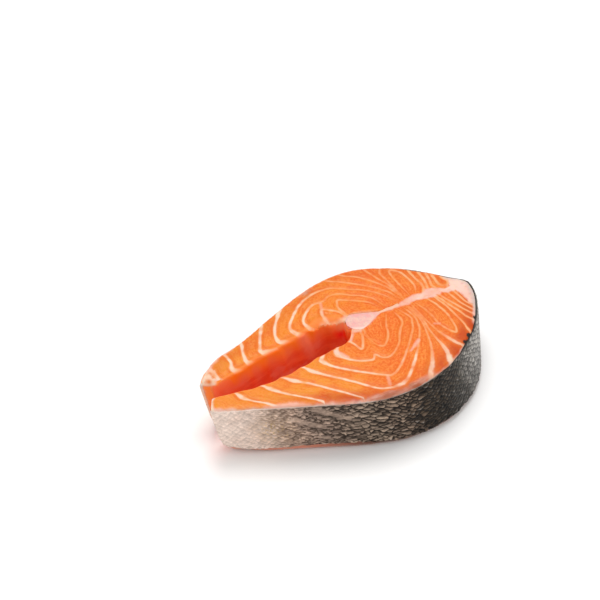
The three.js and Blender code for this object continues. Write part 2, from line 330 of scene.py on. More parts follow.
# The walls of the belly cavity, the ends of the flaps and the membrane over the bone
level = flesh_points[:, 2]
upright = 1 - ease(np.abs(flesh_normals[:, 2]), 0.35, 0.8)
flap_end = upright * ~near * ease(-along, 63.5, 65.5)
wall = upright * ease(from_skin, 2.5, 5.0) * ease(-along, -15, -11) * (1 - flap_end)
over_bone = (1 - ease(from_bone, 1.4, 2.6)) * ease(-along, -11, -9.6) * (1 - ease(level, 26.2, 27.2))
wall = np.maximum(wall, over_bone)


# Smooth chance at every place, always the same for one seed
def noise_at(places, scale, seed):
    return np.array([noise.noise(Vector(place) * scale + Vector((seed, 0, 0))) for place in places])


# 1 at a spot of the cut, fading to 0 round it
def nearness(x, y, size):
    return np.exp(-((along - x) ** 2 + (across - y) ** 2) / size ** 2)


# 1 beside a straight stroke, fading to 0 at its reach
def beside_segment(spots, x0, y0, x1, y1, reach):
    from_x = spots[0] - x0
    from_y = spots[1] - y0
    share = (from_x * (x1 - x0) + from_y * (y1 - y0)) / ((x1 - x0) ** 2 + (y1 - y0) ** 2)
    share = np.clip(share, 0, 1)
    return 1 - ease(np.hypot(from_x - share * (x1 - x0), from_y - share * (y1 - y0)), 0.3 * reach, reach)


# Short marks on the cut, each given as its strength, its two ends and its reach
def marks(rows):
    return np.max([strength * beside_segment((along, across), *ends) for strength, *ends in rows], axis=0)


coarse = noise_at(flesh_points, 0.11, 0)
fine = noise_at(flesh_points, 0.45, 40)

# Lines are broad in the belly flaps, at the cavity and at the near skin, and thin at the back and the middle
from_middle = np.abs(across - middle)
fan = ease(along, 12, 24) * near * (1 - ease(from_skin, 3, 17))
width = 0.46 + 0.19 * ease(-along, -20, 16)
width += 0.4 * fan * (1 - ease(along, 40, 47))
width += 0.12 * ~near * ease(along, 48, 52)
bundle = ease(along, 20, 24) * (1 - ease(along, 47, 52))
bundle *= 1 - ease(from_middle, 0.5, np.where(near, 8, 13))
width *= 1 - 0.6 * bundle
for lines in near_lines[1:7] + far_lines[1:8]:
    width += 0.7 * nearness(*lines[-1][-2], 2.6) * (from_skin > 2.5)
for lines in near_lines[4:7]:
    width += 0.2 * nearness(*lines[0][-1], 7.0) + 0.1 * nearness(*lines[-1][0], 4.0)
fan_line = np.max([nearness(19.5, -26.5, 6.5), nearness(13, -33, 6), nearness(5, -37, 5)], axis=0)
width += 0.16 * nearness(18, -28, 6) + 0.5 * nearness(7, -36.4, 5)
width *= 1 - 0.3 * near * (1 - ease(from_skin, 2, 12)) * ease(-along, -2, 8)
width *= 1 + (0.17 - 0.1 * fan) * fine
keep_value(flesh, "line", line / width)
pale = np.max([0.5 + 0.42 * ease(-along, -12, 6), 0.9 * fan, 0.9 * fan_line, 0.75 * ease(along, 46, 50)],
              axis=0)
pale *= (1 + 0.6 * coarse + 0.7 * (1 - 0.6 * fan) * fine) * (1 - bundle)
pale *= 1 - marks([(0.85, 11, -8.4, 10.2, 0, 1.6)])
keep_value(flesh, "pale", np.clip(pale, 0, 1))
white_lines = [ease(-along, -14, 14), fan * (1 - ease(along, 40, 47)), fan_line]
keep_value(flesh, "white", np.max(white_lines, axis=0))

# Pale fat: the sheet along the middle of the back, the wedge under the back, the edge of the belly,
# the flaps' thin tips, and some dashes
sheet_near = np.interp(along, [26, 30, 36, 40, 44, 47, 50, 54, 58, 60.7, 64],
                       [0.4, 0.7, 1.2, 1.5, 1.2, 2.2, 2.9, 4.0, 3.0, 4.3, 4.8])
sheet_far = np.interp(along, [26, 30, 36, 40, 43, 45, 47.7, 49.4, 52.7, 54.8, 56.5, 59, 60.5, 63, 66],
                      [0.4, 0.7, 1.2, 2.0, 2.8, 3.0, 2.3, 1.7, 3.5, 2.7, 1.9, 0.3, -1.0, -0.8, 2])
sheet = np.where(near, sheet_near, sheet_far)
sheet = (1 - ease(from_middle - sheet + 0.7 * fine, -0.5, 0.5)) * ease(along, 24, 30)
sheet *= 1 - marks([(1, 60.5, 8.9, 63.4, 8.5, 0.9), (0.7, 55.4, 6, 56.4, 5, 1.2)])
wedge_start = np.interp(across, [-17.6, -17, -15.7, -13.1, -10.4, -8.2, -6.3, -4, -1.1, 1.8, 4.4, 5.6,
                                 7, 8.2, 10, 12, 14, 17, 21.5],
                        [75, 60.6, 61.3, 62.8, 64.1, 65.1, 64.7, 65.4, 65.6, 65.1, 64.3, 61.5,
                         60.6, 63.8, 64.8, 65.8, 65.2, 64.8, 64.8])
wedge = ease(along - wedge_start + 0.5 * fine, -0.5, 0.5)
far_tip = ease(-along + fine, 63.2, 65.4) * ~near * ease(level, 22, 27)
far_tip *= 1 - nearness(-67, 11, 1.1) - nearness(-69.5, 14, 0.9)
far_streak = marks([(0.9, -64.5, 10.4, -61, 7.8, 1.6)]) * ~near * ease(level, 20, 26)
far_tip = np.maximum(far_tip, far_streak)
from_tip = 0.855 * (along + 71.3) - 0.519 * (across - 1.26)
near_tip = 1 - ease(from_tip + 0.6 * fine, 0.6, 1.9)
near_tip *= near * ease(level, 24, 26.5)
near_belly = np.interp(along, [-74, -70, -64, -58, -50, -44, -36, -25, -12, 0],
                       [1.4, 0.9, 0.6, 0.7, 1.3, 1.6, 1.0, 0.8, 0.6, 0.2])
far_belly = np.interp(along, [-70, -60, -50, -40], [1.6, 1.1, 0.8, 0.1])
belly_reach = np.where(near, near_belly, far_belly)
belly_edge = (1 - ease(from_skin - belly_reach + 0.5 * fine, -0.5, 0.7)) * ease(-along, -4, 12)
far_edge = 0.55 * (1 - ease(from_skin + 0.4 * fine, 0.4, 1.4)) * ~near
far_edge *= ease(along, -14, -4) * (1 - ease(along, 34, 40))
near_edge = 0.7 * (1 - ease(from_skin + 0.3 * fine, 0.2, 1.0)) * near
near_edge *= ease(along, 14, 22) * (1 - ease(along, 44, 47))
dashes = marks([(1, 29, -16, 25, -18.6, 1.2), (0.8, 26, -18, 21.4, -20.6, 0.8),
                (0.6, 2.6, -29.4, 0.4, -34.6, 1.1), (0.7, 41.8, -10.3, 44, -11.6, 0.8)])
by_bone = marks([(1, 4.9, 3.5, 1.8, 0.4, 1.2), (1, 5.6, 5.2, 9.6, 4.6, 2.0), (1, 6.5, 13.5, 9, 16, 1.5),
                 (0.8, 1.5, 17.2, 0.8, 21, 1.5), (0.8, -8.2, -2, -5.8, -9, 1.3),
                 (0.95, -1.5, 18.4, 7.2, 13.6, 2.9), (0.5, 4.4, 30.4, 0.8, 23.4, 1.0)])
at_bone = 0.55 * (1 - ease(from_bone + 0.3 * fine, 0.4, 1.2)) * (1 - ease(along, 20, 26))
at_bone *= ease(level, 25, 27)
back_edge = 0.9 * (1 - ease(from_skin + 0.4 * fine, 0.8, 1.9)) * near * ease(along, 56.5, 59)
fat = np.max([sheet, at_bone, back_edge, wedge, 0.9 * far_tip, near_tip, belly_edge, far_edge, near_edge,
              0.8 * dashes, 0.85 * by_bone], axis=0)
end_fat = 0.5 * flap_end * (1 - ease(from_skin + 0.5 * fine, 0.4, 1.6))
keep_value(flesh, "fat", np.maximum(fat * (1 - wall) * (1 - flap_end), end_fat))

# A glassy brownish band under the near skin, widest where the fish's side line meets it,
# and nicks of black skin
band_width = 2.5 * np.exp(-((along - 6) / np.where(along < 6, 26, 17)) ** 2)
band = (1 - ease(from_skin - band_width + 0.6 * fine, -0.7, 1.2)) * ease(band_width, 0.2, 1.4) * near
keep_value(flesh, "band", np.maximum(band, 0.8 * nearness(2.5, 41, 3.0)))
nicks = nearness(47, -28.5, 1.9) + nearness(51, -25.3, 1.7) + nearness(61.3, -16.8, 1.5)
nick_edge = ease(nicks * (1 - ease(from_skin, 1.2, 2.6)) + 0.3 * fine, 0.3, 0.5)
keep_value(flesh, "nick", nick_edge * ease(nicks, 0.05, 0.2))

# Where the walls, the flaps, the back and the foot take other tones: the flaps' end faces are painted
# brighter, as painted light, and the foot darker, as painted shade
keep_value(flesh, "wall", wall)
near_end = upright * near * ease(-along, 66, 69) * (1 - ease(level, 23, 26)) * (1 - wall)
keep_value(flesh, "flap_end", np.maximum(flap_end, near_end))
keep_value(flesh, "wall_height", level / thickness)
keep_value(flesh, "wall_spot", nearness(5, 15.4, 3.0) * np.exp(-((level - 21.3) / 3) ** 2))
keep_value(flesh, "rosy", nearness(6, 14, 4.5) * ease(level, 22, 26))
off_underside = 1 - ease(-flesh_normals[:, 2], 0.6, 0.95)
keep_value(flesh, "foot", (1 - ease(level, 3.4, 5.0)) * (1 - wall) * off_underside)
keep_value(flesh, "painted_foot_shade", ease(along, -52, -8))
# A pink fold down the wall and a pink patch at the flap's end, partly painted highlights
from_fold = along + 15 - 0.25 * (26 - level)
fold = np.exp(-(from_fold / 3.2) ** 2) * ease(level, 8, 16) + 0.6 * ease(-along, 57, 63)
keep_value(flesh, "fold", np.clip(fold, 0, 1) * wall)
keep_value(flesh, "flap", ease(-along, -14, 22))
keep_value(flesh, "tip", ease(-along, 32, 56))
keep_value(flesh, "cream", np.maximum(far_tip, near_tip))
keep_value(flesh, "back", ease(along, 22, 40))
keep_value(flesh, "far", ~near * (1 - ease(along, 10, 35)))
deep = np.exp(-((along + 18) / 26) ** 2) + ease(along, 14, 26)
keep_value(flesh, "rim", (1 - ease(from_skin, 2.5, 9)) * np.where(near, np.clip(deep, 0, 1), 0.3))
keep_value(flesh, "grey", (1 - ease(from_skin + 0.4 * fine, 0.6, 3.2)) * ease(along, 61, 66))

# The rims of the far flakes are bright orange, and on the wall below them the flakes' ends are orange too,
# with pinkish lobes between, which are partly painted highlights
hot_spots = [nearness(-14.5, 20.5, 2.4), nearness(-3.5, 18.8, 2.4), 0.8 * nearness(56, 5.4, 1.2)]
hot_rims = marks([(1, -42, 13.6, -39, 14, 2.6), (1, -51, 11.2, -49, 11.2, 2.4),
                  (1, -31.5, 15.2, -29, 15.8, 2.4), (0.8, -60.5, 11.6, -57.5, 10.6, 2.2)])
keep_value(flesh, "hot", np.max([*hot_spots, hot_rims], axis=0) * (1 - upright))
hooks = [lines[-1][-2] for lines in far_lines[1:8]]
flake_ends = marks([(1, x - 6, y - 0.8, x - 1.5, y, 4.5) for x, y in hooks])
keep_value(flesh, "flake_end", flake_ends * ease(level, 19, 26) * wall * ~near)
lobes = np.max([nearness(x + 2.5, y, 3.0) for x, y in hooks], axis=0)
keep_value(flesh, "lobe", lobes * ease(level, 9, 19) * (1 - ease(level, 22, 27)) * wall * ~near)

# Each flake stands up between its lines, the lines stand out at the cavity,
# and the whole cut is faintly uneven
flake = ease(np.abs(line), 0.1, 2.4) - 0.75
fold_ridge = np.exp(-(from_fold / 2.2) ** 2) * wall * ~near
swell = 0.26 * flake * (1 - upright) * ease(from_skin, 1, 3) + 0.14 * coarse + 0.05 * fine
swell += (0.25 * coarse - 0.35 * flake * ease(level, 14, 26) + 0.6 * fold_ridge) * wall
swell *= ease(level, 0.2, 2.5)

# The rim of the far wall sinks and rounds over towards the backbone
sink = 3.2 * ease(along, -14, -3) * (1 - ease(along, 4, 7.5)) * ~near
on_rim = np.flatnonzero((wall > 0.5) & ~near & (level > 18))
rim_tree = kdtree.KDTree(len(on_rim))
for i in on_rim:
    rim_tree.insert((along[i], across[i], 0), i)
rim_tree.balance()
drop = sink * level / thickness * wall
for i in np.flatnonzero((sink > 0.05) & (wall <= 0.5) & (level > 20)):
    inset = rim_tree.find((along[i], across[i], 0))[2]
    drop[i] = sink[i] * max(1 - inset / 7, 0) ** 2


# Both tips reach out a little with a rounded end, the corner of the back stands out, the back leans less
# than the flanks, and the near flank leans out most towards the back
def trim(places, along, across):
    level = places[:, 2]
    near_reach = np.interp(level, [0, 3, 7, 13, 28], [3.2, 0.8, -1.1, -1.9, -1.6]) * ease(-along, 58, 73)
    far_reach = -1.1 * ease(-along, 54, 68)
    lean = -1.2 * (1 - ease(level, 12, 27)) * ease(along, 42, 66)
    corner = 1.4 * np.exp(-((across - 7.5) / 4.5) ** 2) * ease(along, 60, 70)
    flare = np.interp(along, [-12, -1, 7, 17, 24, 30, 41, 50, 58, 66],
                      [0, 1.1, 1.6, 2.3, 3.2, 3.2, 3.0, 2.4, 1.5, 0])
    flare *= (1 - level / thickness) * ease(-across, -9, 22)
    aside = np.where(across < middle, near_reach, far_reach) + lean + corner
    return places + np.stack([aside, 0.4 * corner - flare, np.zeros(len(level))], axis=1)


# The cut edge of the flesh laps against the skin, and its foot swells out under the skin's lower edge
top = ease(level, 24, 26.5)
foot = (1 - ease(level, 1.9, 3.2)) * ease(level, -0.2, 0.7)
push = 0.45 + (np.where(near, 0.7, 0.9) - 0.5 * ease(along, 40, 46)) * top + 0.2 * foot + 0.5 * flap_end
push *= 1 - ease(from_skin, 0.3, 2.6)
grip = 0.65 * (1 - ease(from_bone, 0.3, 2.2)) * (1 - wall)
flesh_places = flesh_points + flesh_normals * swell[:, None]
flesh_places += to_skin * push[:, None] + to_bone * grip[:, None]
flesh_places[:, 2] -= drop
move_points(flesh, trim(flesh_places, along, across))
# The rounded rim of the far wall, turned from the lamp, is painted brighter there as painted light
painted_light_brow = ease(1 - normals_of(flesh)[:, 2], 0.04, 0.2) * ease(level, 16, 22)
painted_light_brow *= ease(from_skin, 3, 6) * (along < 10)
keep_value(flesh, "painted_light_brow", painted_light_brow * (1 - wall))

flesh_look, flesh_shader = new_look("raw_flesh")
shading = flesh_look.node_tree


# Each of the next functions adds nodes to the material that is being made, the one in shading
def add_node(kind, inputs=None, **settings):
    node = shading.nodes.new(kind)
    for name, value in settings.items():
        setattr(node, name, value)
    set_inputs(node, inputs or {})
    return node


def colour_mix(share, first, second, blend_type="MIX"):
    node = add_node("ShaderNodeMix", data_type="RGBA", blend_type=blend_type)
    set_inputs(node, {0: share, 6: first, 7: second})
    return node.outputs[2]


def spread(value, from_min, from_max, to_min=0.0, to_max=1.0):
    node = add_node("ShaderNodeMapRange", {"Value": value, "From Min": from_min, "From Max": from_max,
                                           "To Min": to_min, "To Max": to_max},
                    interpolation_type="SMOOTHSTEP")
    return node.outputs["Result"]


def sums(operation, first, second=0.0):
    return add_node("ShaderNodeMath", {0: first, 1: second}, operation=operation).outputs[0]


def product(first, second):
    return sums("MULTIPLY", first, second)


def kept(name):
    return add_node("ShaderNodeAttribute", attribute_name=name).outputs["Fac"]


# Tones laid over a colour one after another, each by a kept value's name or by a share
def tinted(colour, *tones):
    for share, tone in tones:
        colour = colour_mix(kept(share) if isinstance(share, str) else share, colour, tone)
    return colour


def object_place():
    return add_node("ShaderNodeTexCoord").outputs["Object"]


def speckle(scale, detail=3.0, stretch=(1, 1, 1)):
    mapping = add_node("ShaderNodeMapping", {"Vector": object_place(), "Scale": stretch})
    return add_node("ShaderNodeTexNoise", {"Vector": mapping.outputs[0], "Scale": scale,
                                           "Detail": detail, "Roughness": 0.55}).outputs["Fac"]


# The muscle is orange, lightest in the flaps, with clouds, grain and fibres that follow the lines
clouds = speckle(70)
grain = speckle(850, 4)
wobble = speckle(420, 2)
mottles = speckle(130, 5)
fibre_scale = 150.0
cut_place = add_node("ShaderNodeSeparateXYZ", {"Vector": object_place()})
fibre_place = add_node("ShaderNodeCombineXYZ", {"X": kept("line"),
                                                "Y": product(cut_place.outputs["X"], fibre_scale),
                                                "Z": product(cut_place.outputs["Y"], fibre_scale)})
fibres = add_node("ShaderNodeTexNoise", {"Vector": fibre_place.outputs[0], "Scale": 1.1, "Detail": 4.0,
                                         "Roughness": 0.6}).outputs["Fac"]
off_tip = spread(kept("tip"), 0.0, 1.0, 1.0, 0.4)
off_flap = spread(kept("flap"), 0.0, 1.0, 1.0, 0.55)
flesh_colour = tinted(
    colour_mix(kept("flap"), (0.76, 0.135, 0.010, 1), (0.76, 0.272, 0.017, 1)),
    ("far", (0.76, 0.225, 0.010, 1)),
    ("tip", (0.76, 0.285, 0.022, 1)),
    ("back", (0.73, 0.148, 0.014, 1)),
    (spread(clouds, 0.4, 0.7, 0, 0.5), (0.77, 0.235, 0.018, 1)),
    (product(spread(mottles, 0.42, 0.7, 0, 0.7), off_tip), (0.72, 0.10, 0.008, 1)),
    ("hot", (0.80, 0.19, 0.002, 1)),
    (spread(grain, 0.4, 0.64, 0, 0.7), (0.79, 0.25, 0.04, 1)),
    (product(spread(grain, 0.5, 0.36, 0, 0.5), off_flap), (0.70, 0.115, 0.004, 1)),
    (product(spread(fibres, 0.5, 0.68, 0, 0.75), off_flap), (0.70, 0.10, 0.002, 1)),
    (spread(fibres, 0.47, 0.31, 0, 0.65), (0.80, 0.30, 0.07, 1)),
    (product(kept("rim"), spread(clouds, 0.25, 0.65, 0.5, 0.9)), (0.48, 0.045, 0.001, 1)),
    # Painted light on the rounded far rim
    ("painted_light_brow", (1.0, 0.30, 0.07, 1)),
    # The flaps' end faces, turned from the lamp, are painted brighter orange as painted light
    ("flap_end", (0.97, 0.24, 0.03, 1)))
band_streaks = spread(speckle(260, 3, (0.35, 1, 1)), 0.4, 0.62)
band_colour = colour_mix(band_streaks, (0.34, 0.11, 0.062, 1), (0.57, 0.285, 0.215, 1))
flesh_colour = tinted(flesh_colour, (product(kept("band"), 0.85), band_colour))

# The lines are cream with a soft edge, and the muscle is deeper a little way off from them
off_line = sums("ADD", sums("ABSOLUTE", kept("line")), spread(wobble, 0.2, 0.8, -0.2, 0.2))
off_wall = sums("SUBTRACT", 1.0, kept("wall"))
off_painted_light_brow = sums("SUBTRACT", 1.0, kept("painted_light_brow"))
on_cut = product(off_wall, kept("pale"))
deep_edge = product(spread(off_line, 1.0, 2.0), spread(off_line, 4.5, 2.2))
deep_edge = product(deep_edge, spread(mottles, 0.4, 0.6, 0.1, 0.6))
deep_edge = product(product(deep_edge, off_wall), off_painted_light_brow)
line_colour = tinted(
    colour_mix(kept("white"), (0.79, 0.39, 0.18, 1), (0.81, 0.57, 0.42, 1)),
    # Painted light on the lines over the far rim
    ("painted_light_brow", (1.0, 0.50, 0.27, 1)))
flesh_colour = tinted(
    flesh_colour,
    (deep_edge, (0.68, 0.125, 0.002, 1)),
    (product(spread(off_line, 0.8, 2.6, 0.35, 0.0), on_cut), (0.78, 0.26, 0.06, 1)),
    (product(spread(off_line, 0.5, 1.4, 0.95, 0.0), on_cut), line_colour))

# The fat is pinkish cream, greyer under the skin of the back and yellower at the flaps' tips
fat_colour = tinted(
    colour_mix(spread(clouds, 0.4, 0.62), (0.79, 0.40, 0.30, 1), (0.80, 0.55, 0.46, 1)),
    (spread(mottles, 0.5, 0.68, 0, 0.6), (0.72, 0.36, 0.29, 1)),
    # Painted light on the fat over the far rim
    ("painted_light_brow", (1.0, 0.62, 0.41, 1)),
    ("grey", (0.58, 0.46, 0.41, 1)),
    ("cream", (0.80, 0.60, 0.45, 1)))
flesh_colour = tinted(
    flesh_colour,
    (product(kept("fat"), spread(wobble, 0.2, 0.5, 0.7, 0.97)), fat_colour),
    ("nick", (0.02, 0.016, 0.013, 1)))

# The cavity's walls are red, lighter towards the top, with the orange ends and pink lobes of the flakes, the
# lobes partly painted highlights, and the foot under the skin's edge is painted shade, from pink at the flaps
# to brown, greyer next to the table
wall_colour = tinted(
    colour_mix(spread(clouds, 0.35, 0.7), (0.82, 0.06, 0.006, 1), (0.88, 0.10, 0.024, 1)),
    (spread(speckle(300, 3, (0.3, 0.3, 1.3)), 0.42, 0.66, 0, 0.6), (0.97, 0.16, 0.05, 1)),
    # Pink patches on the wall, partly painted highlights
    (spread(speckle(120, 3, (0.6, 0.6, 1.0)), 0.5, 0.64, 0, 0.55), (0.90, 0.21, 0.125, 1)),
    (spread(kept("wall_height"), 0.62, 0.95), (1.0, 0.19, 0.035, 1)),
    (product(kept("flake_end"), 0.85), (1.0, 0.20, 0.004, 1)),
    (product(kept("lobe"), 0.48), (0.90, 0.19, 0.105, 1)),
    ("wall_spot", (1.0, 0.010, 0.0, 1)),
    ("rosy", (1.0, 0.26, 0.10, 1)),
    (product(kept("fold"), 0.75), (0.93, 0.23, 0.12, 1)))
foot_shade_colour = tinted(
    colour_mix(kept("painted_foot_shade"), (0.70, 0.26, 0.17, 1), (0.10, 0.05, 0.035, 1)),
    (spread(kept("wall_height"), 0.0, 0.09, 0.7, 0.0), (0.55, 0.44, 0.39, 1)))
flesh_colour = tinted(flesh_colour, ("wall", wall_colour), ("foot", foot_shade_colour))
flesh_bump = add_node("ShaderNodeBump", {"Height": grain, "Strength": 0.12, "Distance": 0.0005})
set_inputs(flesh_shader, {
    "Base Color": flesh_colour, "Roughness": spread(grain, 0.3, 0.7, 0.28, 0.44),
    "Normal": flesh_bump.outputs[0],
    "Subsurface Weight": 0.3, "Subsurface Radius": (1.0, 0.35, 0.15), "Subsurface Scale": 0.0018,
    "Specular IOR Level": 0.13, "Coat Weight": 0.05, "Coat Roughness": 0.1})
flesh.data.materials.append(flesh_look)
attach(flesh, "root")
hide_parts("flesh")

# The skin is one thin band round the flesh, cut with it: overlapping scales in staggered rows,
# silvery white at the belly, darkening over the flank to nearly black at the back.
skin = copy_of_node("skin", "skin_band")
bpy.ops.object.mode_set(mode="EDIT")
bpy.ops.mesh.select_all(action="SELECT")
bpy.ops.mesh.tris_convert_to_quads(face_threshold=math.pi, shape_threshold=math.pi)
bpy.ops.mesh.select_all(action="DESELECT")
bpy.ops.object.mode_set(mode="OBJECT")
cavity_along = -20
cavity_across = 4
cavity_middle = Vector((cavity_along / 1000, cavity_across / 1000, 0))
least_face = 6e-6
least_height = 0.003


# Only the outer side gets faces fine enough for scales: its tall edges are cut in two,
# and then each of its faces into a hundred
def choose_outer_faces():
    for face in skin.data.polygons:
        looks_out = face.normal.dot(face.center - cavity_middle) > 0
        face.select = looks_out and abs(face.normal.z) < 0.3 and face.area > least_face


bpy.context.tool_settings.mesh_select_mode = (False, False, True)
choose_outer_faces()
for edge in skin.data.edges:
    edge.select = False
outer_edges = {key for face in skin.data.polygons if face.select for key in face.edge_keys}
bpy.context.tool_settings.mesh_select_mode = (False, True, False)
for face in skin.data.polygons:
    face.select = False
for vertex in skin.data.vertices:
    vertex.select = False
for edge in skin.data.edges:
    ends = [skin.data.vertices[i].co for i in edge.vertices]
    edge.select = edge.key in outer_edges and abs(ends[0].z - ends[1].z) > least_height
bpy.ops.object.mode_set(mode="EDIT")
bpy.ops.mesh.subdivide(number_cuts=1)
bpy.ops.object.mode_set(mode="OBJECT")
bpy.context.tool_settings.mesh_select_mode = (False, False, True)
bpy.ops.object.mode_set(mode="EDIT")
bpy.ops.mesh.select_all(action="DESELECT")
bpy.ops.object.mode_set(mode="OBJECT")
choose_outer_faces()
bpy.ops.object.mode_set(mode="EDIT")
bpy.ops.mesh.subdivide(number_cuts=9)
bpy.ops.object.mode_set(mode="OBJECT")
bpy.ops.object.shade_smooth()

# Length along the band from the near flap's tip, found by looking round from the cavity
skin_points = points_of(skin)
skin_normals = normals_of(skin)
along, across = on_upper_face(skin_points)
bearing = np.arctan2(across - cavity_across, along - cavity_along)
reach = np.hypot(across - cavity_across, along - cavity_along)
bearings = np.linspace(bearing.min(), bearing.max(), 240)
reaches = np.array([reach[np.abs(bearing - way) < 0.04].max() for way in bearings])
steps = np.hypot(np.diff(reaches * np.cos(bearings)), np.diff(reaches * np.sin(bearings)))
lengths = np.concatenate([[0], np.cumsum(steps)])
length = np.interp(bearing, bearings, lengths)
to_back = np.minimum(length, lengths[-1] - length) / (lengths[-1] / 2)

# Scales lie in staggered rows as lozenges, each with its free end down over the row below:
# small at the belly, largest on the flank, and small again at the back. No two are quite alike.
level = skin_points[:, 2]
near_side = across < middle
share_stops = np.linspace(0, 1, 101)
scale_stops = [0, 0.12, 0.25, 0.38, 0.5, 0.65, 1]
scale_widths = np.interp(share_stops, scale_stops, [3.0, 3.2, 5.6, 6.2, 4.6, 3.6, 3.2])
scale_rows = np.interp(to_back, scale_stops, [1.3, 1.3, 1.35, 1.35, 1.15, 1.15, 1.3])
columns = np.concatenate([[0], np.cumsum(lengths[-1] / 200 / scale_widths[:-1])])
column = np.interp(to_back, share_stops, columns)
row = level / scale_rows
flat_places = np.stack([length, level, np.zeros(len(level))], axis=1)
stray = np.interp(to_back, [0, 0.12, 0.25, 0.6, 0.75], [0.35, 0.7, 1.5, 1.3, 1.0])
column = column + stray * (0.5 * noise_at(flat_places, 0.1, 3) + 0.16 * noise_at(flat_places, 0.4, 9))
row = row + stray * (0.7 * noise_at(flat_places, 0.09, 21) + 0.28 * noise_at(flat_places, 0.35, 33))
uneven = noise_at(flat_places, 0.16, 50)


# A number from 0 to 1 for every scale, always the same for one seed
def chance(row_number, column_number, seed):
    return np.mod(np.sin(row_number * 12.99 + column_number * 78.23 + seed * 37.7) * 4375.85, 1)


first = np.full(len(row), 9.0)
second = np.full(len(row), 9.0)
scale_drop = np.zeros(len(row))
scale_side = np.zeros(len(row))
scale_tone = np.zeros(len(row))
own_row = np.zeros(len(row))
next_row = np.zeros(len(row))
for rows_up in (-1, 0, 1, 2):
    row_number = np.floor(row) + rows_up
    shift = np.where(row_number % 2 == 0, 0.0, 0.5)
    for columns_on in (-1, 0, 1, 2):
        column_number = np.floor(column - shift) + columns_on
        aside = column - column_number - shift - 0.35 * stray * (chance(row_number, column_number, 1) - 0.5)
        above = (row - row_number - 0.6 * stray * (chance(row_number, column_number, 2) - 0.5)) / 2
        away = np.hypot(aside, above) - 0.08 * chance(row_number, column_number, 3)
        nearer = away < first
        second = np.where(nearer, first, np.minimum(second, away))
        next_row = np.where(nearer, own_row, np.where(away <= second, row_number, next_row))
        own_row = np.where(nearer, row_number, own_row)
        scale_drop = np.where(nearer, -above, scale_drop)
        scale_side = np.where(nearer, np.abs(aside), scale_side)
        scale_tone = np.where(nearer, chance(row_number, column_number, 4), scale_tone)
        first = np.minimum(first, away)

# The gaps between scales are painted shade, widest under a scale's free end, with dark dashes over the paler
# flank and dots at the back. A few smooth wrinkles run across the near flank, with painted shade below them.
strength = 0.5 + 0.35 * ease(to_back, 0.28, 0.4) + (chance(own_row, np.floor(column), 6) - 0.3) + uneven
strength = np.clip(strength, 0.15, 1.4)
free_end = np.interp(to_back, [0.3, 0.5, 0.6], [0.7, 0.9, 0.66])
gap_shade_width = np.where(next_row > own_row, free_end, 0.2) * strength
net = np.interp(to_back, [0, 0.1, 0.2, 0.26, 0.34], [0.6, 0.5, 0.5, 0.75, 1.0])
slanted = to_back + 0.004 * (level - 14)
dash_places = np.stack([0.55 * length, 1.6 * level + 0.12 * length, np.zeros(len(level))], axis=1)
dashes = noise_at(dash_places, 1.0, 61)
dashes = ease(dashes, 0.05, 0.17) * ease(slanted, 0.07, 0.17) * (1 - ease(to_back, 0.3, 0.42))
dots = ease(scale_side, 0.26, 0.44) * (1 - ease(np.abs(scale_drop), 0.06, 0.2)) * ease(to_back, 0.6, 0.68)
wrinkles = [(36, 20.2, 49, 15, 2.0), (46.8, 25.8, 61.8, 19.2, 2.2), (46.5, 8.8, 51.2, 7.2, 1.3)]
wavy = level + 1.2 * noise_at(flat_places, 0.3, 47)
wrinkle = np.max([beside_segment((length, wavy), *ends) for ends in wrinkles], axis=0) * near_side
shade_below_wrinkles = [beside_segment((length, wavy + 0.8 * ends[4]), *ends) for ends in wrinkles]
shade_below_wrinkles = np.max(shade_below_wrinkles, axis=0) * near_side
gap_shade = net * (1 - ease(second - first, 0.02, gap_shade_width))
shade_and_dark_marks = np.max([gap_shade, 0.95 * dashes, 0.4 * shade_below_wrinkles, dots], axis=0)
shade_and_dark_marks *= 1 - 0.7 * wrinkle
scale_height = np.interp(to_back, [0, 0.15, 0.3, 0.5, 0.7, 1], [0.08, 0.2, 0.5, 0.5, 0.35, 0.3])
from_cavity = skin_points - np.array([cavity_along, cavity_across, mid_height])
outer = np.einsum("ij,ij->i", skin_normals, from_cavity) > 0
upright = 1 - ease(np.abs(skin_normals[:, 2]), 0.3, 0.7)
relief = scale_drop - 0.5 * shade_and_dark_marks + 0.4 * (scale_tone - 0.5)
stand = (0.25 * wrinkle + scale_height * (1 - wrinkle) * relief) * outer * upright
# Each scale is painted lighter towards its free end and darker under the scale above, as painted light and
# shade, over its own random tone; the wrinkles are paler
contrast = np.interp(to_back, [0, 0.1, 0.22, 0.4, 0.5, 0.65, 1], [0.2, 0.4, 1.2, 1.35, 1.9, 1.5, 1.2])
scale_shade = 1.1 * scale_drop + 0.8 * (scale_tone - 0.5) + 0.3 * uneven
shade = 1 + contrast * scale_shade * (1 - 0.6 * wrinkle) + 0.3 * wrinkle

# The cut edge shrinks back from the flesh a little, less at the back, and the lower edge is ragged and
# lifts off the table on the near flank
lip_drop = np.where(near_side, 0.5, 0.9) - np.where(near_side, 0.3, 0.7) * ease(along, 40, 46)
jags = noise_at(flat_places, 0.35, 70) + 0.5 * noise_at(flat_places, 0.9, 75)
ragged = 0.35 + (0.7 + 0.8 * ease(to_back, 0.25, 0.5)) * jags + 0.5 * (1 - ease(to_back, 0.1, 0.3))
lift = np.interp(along, [-66, -55, -46, -38, -24, -10, 5], [0, 0.6, 1.3, 1.9, 2.0, 1.1, 0.2]) * near_side
ragged = np.maximum(ragged, -0.4) + 2.0 * (1 - ease(length, 0, 8)) + lift
rise = ragged * (1 - ease(level, 1.6, 8)) - lip_drop * ease(level, 18, 27)
skin_places = skin_points + skin_normals * stand[:, None]
skin_places[:, 2] += rise
move_points(skin, trim(skin_places, along, across))

